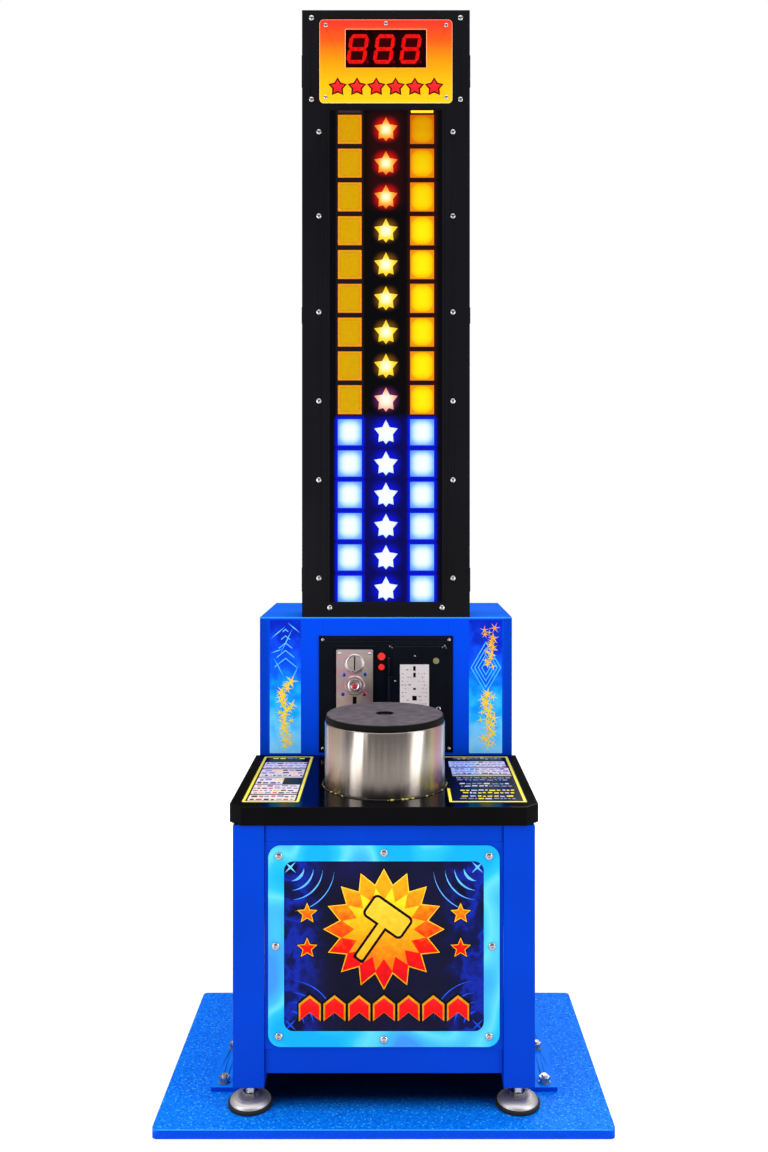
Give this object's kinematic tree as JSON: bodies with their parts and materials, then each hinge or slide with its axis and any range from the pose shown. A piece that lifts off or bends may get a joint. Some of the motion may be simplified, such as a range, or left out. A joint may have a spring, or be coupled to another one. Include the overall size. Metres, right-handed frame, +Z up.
{
  "type": "hammer arcade machine",
  "caption": "Strength-tester arcade machine: a sprung steel striking drum in a low table, a coin cabinet behind it and a tall light tower with a score display.",
  "frame": {"origin": "on the floor, under the middle of the machine's bounding box", "axes": "+Z up, the front with the coin panel and the lights faces -Y, +X to the right seen from the front"},
  "size_m": [0.86, 0.801, 2.3],
  "materials": {
    "plate_paint": "glossy hammered enamel",
    "blue_paint": "gloss powder coat",
    "black_paint": "satin powder coat",
    "black_gloss": "gloss powder coat",
    "zinc": "zinc plated",
    "printed_panel": "gloss printed sheet",
    "trim_rubber": "moulded edging",
    "cast_housing": "machined casting",
    "bronze": "turned bronze",
    "elastomer": "cast polyurethane",
    "black_plastic": "moulded",
    "spring_steel": "oiled spring wire",
    "brushed_steel": "brushed stainless",
    "bare_steel": "turned steel",
    "pad_rubber": "moulded rubber",
    "cast_zinc": "satin chromed zinc casting",
    "red_plastic": "moulded",
    "info_sheet": "brushed sheet",
    "lock_brass": "polished",
    "box_steel": "grey enamel",
    "supply_case": "folded sheet",
    "circuit_board": "solder mask",
    "white_board": "white solder mask",
    "amber_dim": "translucent acrylic, unlit",
    "amber_lit": "translucent acrylic, lit",
    "blue_lit": "translucent acrylic, lit",
    "star_lit": "translucent acrylic, lit",
    "marquee_print": "gloss printed sheet",
    "display_red": "dark red filter",
    "digit_red": "lit segments",
    "foot_metal": "plated"
  },
  "bodies": {
    "root": {"base_plate": "plate_paint", "base_frame": "blue_paint", "plate_brackets": "blue_paint", "hex_bolts": "zinc", "front_hatch": "blue_paint", "art_panel": "printed_panel", "base_panels": "blue_paint", "table_top": "black_gloss", "drum_trim": "trim_rubber", "guide_housing": "cast_housing", "guide_bush": "bronze", "buffer_column": "elastomer", "strike_sensor": "black_plastic", "strike_spring": "spring_steel", "cabinet_shell": "blue_paint", "coin_panel": "black_paint", "coin_faceplate": "cast_zinc", "coin_mech": "black_plastic", "service_hinge": "black_paint", "cash_box": "box_steel", "rear_hinge": "zinc", "power_supply": "supply_case", "control_board": "circuit_board", "mains_inlet": "black_plastic", "tower_shell": "black_paint", "tower_back": "black_paint", "front_frame": "black_paint", "light_panel": "black_plastic", "amber_dim_lenses": "amber_dim", "amber_lit_lenses": "amber_lit", "blue_lenses": "blue_lit", "star_lenses": "star_lit", "led_boards": "white_board", "head_plate": "black_paint", "marquee_panel": "marquee_print", "display_module": "display_red", "digit_segments": "digit_red", "button_head_screws": "zinc"},
    "plunger": {"drum_sleeve": "brushed_steel", "drum_head": "bare_steel", "strike_pad": "pad_rubber", "head_bolt": "bare_steel", "plunger_shaft": "bare_steel", "shaft_collar": "bare_steel"},
    "return_button": {"return_button": "cast_zinc"},
    "credit_button": {"credit_button": "red_plastic"},
    "test_button": {"test_button": "red_plastic"},
    "service_door": {"service_door": "black_paint", "info_plate": "info_sheet"},
    "door_lock": {"door_lock": "lock_brass"},
    "rear_door": {"rear_door": "blue_paint"},
    "rear_lock": {"rear_lock": "cast_zinc"},
    "foot_pad_front_left": {"foot_pad_front_left": "foot_metal"},
    "foot_stem_front_left": {"foot_stem_front_left": "zinc"},
    "foot_pad_front_right": {"foot_pad_front_right": "foot_metal"},
    "foot_stem_front_right": {"foot_stem_front_right": "zinc"},
    "foot_pad_rear_left": {"foot_pad_rear_left": "foot_metal"},
    "foot_stem_rear_left": {"foot_stem_rear_left": "zinc"},
    "foot_pad_rear_right": {"foot_pad_rear_right": "foot_metal"},
    "foot_stem_rear_right": {"foot_stem_rear_right": "zinc"}
  },
  "joints": [
    {"name": "strike_travel", "type": "slide", "parent": "root", "child": "plunger", "axis": [0, 0, -1], "range_m": [0, 0.02], "stiffness_N_per_m": 25000, "springref_m": -0.008, "deforming": ["strike_spring"]},
    {"name": "return_button_push", "type": "slide", "parent": "root", "child": "return_button", "axis": [0, 1, 0], "range_m": [0, 0.004], "stiffness_N_per_m": 400, "springref_m": -0.004},
    {"name": "credit_button_push", "type": "slide", "parent": "root", "child": "credit_button", "axis": [0, 1, 0], "range_m": [0, 0.003], "stiffness_N_per_m": 300, "springref_m": -0.003},
    {"name": "test_button_push", "type": "slide", "parent": "root", "child": "test_button", "axis": [0, 1, 0], "range_m": [0, 0.003], "stiffness_N_per_m": 300, "springref_m": -0.003},
    {"name": "service_door_hinge", "type": "hinge", "parent": "root", "child": "service_door", "pos_m": [0.0068, 0.0447, 0.7385], "axis": [0, 0, -1], "range_deg": [0, 60]},
    {"name": "door_lock_turn", "type": "hinge", "parent": "service_door", "child": "door_lock", "pos_m": [0.114, 0.0447, 0.817], "axis": [0, -1, 0], "range_deg": [0, 90]},
    {"name": "rear_door_hinge", "type": "hinge", "parent": "root", "child": "rear_door", "pos_m": [-0.2131, 0.3815, 0.76], "axis": [0, 0, 1], "range_deg": [0, 110]},
    {"name": "rear_lock_turn", "type": "hinge", "parent": "rear_door", "child": "rear_lock", "pos_m": [0.184, 0.3798, 0.76], "axis": [0, -1, 0], "range_deg": [0, 90]},
    {"name": "foot_height_front_left", "type": "slide", "parent": "root", "child": "foot_pad_front_left", "axis": [0, 0, 1], "range_m": [0, 0.018]},
    {"name": "foot_screw_front_left", "type": "hinge", "parent": "foot_pad_front_left", "child": "foot_stem_front_left", "pos_m": [-0.2575, -0.3175, 0.05], "axis": [0, 0, 1], "range_deg": [0, 3242]},
    {"name": "foot_height_front_right", "type": "slide", "parent": "root", "child": "foot_pad_front_right", "axis": [0, 0, 1], "range_m": [0, 0.018]},
    {"name": "foot_screw_front_right", "type": "hinge", "parent": "foot_pad_front_right", "child": "foot_stem_front_right", "pos_m": [0.2575, -0.3175, 0.05], "axis": [0, 0, 1], "range_deg": [0, 3242]},
    {"name": "foot_height_rear_left", "type": "slide", "parent": "root", "child": "foot_pad_rear_left", "axis": [0, 0, -1], "range_m": [0, 0.015]},
    {"name": "foot_screw_rear_left", "type": "hinge", "parent": "foot_pad_rear_left", "child": "foot_stem_rear_left", "pos_m": [-0.2575, 0.3575, 0.05], "axis": [0, 0, -1], "range_deg": [0, 2702]},
    {"name": "foot_height_rear_right", "type": "slide", "parent": "root", "child": "foot_pad_rear_right", "axis": [0, 0, -1], "range_m": [0, 0.015]},
    {"name": "foot_screw_rear_right", "type": "hinge", "parent": "foot_pad_rear_right", "child": "foot_stem_rear_right", "pos_m": [0.2575, 0.3575, 0.05], "axis": [0, 0, -1], "range_deg": [0, 2702]}
  ],
  "couplings": [
    {"joint": "foot_screw_front_left", "follows": "foot_height_front_left", "rad_per_m": 3141.6},
    {"joint": "foot_screw_front_right", "follows": "foot_height_front_right", "rad_per_m": 3141.6},
    {"joint": "foot_screw_rear_left", "follows": "foot_height_rear_left", "rad_per_m": 3141.6},
    {"joint": "foot_screw_rear_right", "follows": "foot_height_rear_right", "rad_per_m": 3141.6}
  ]
}
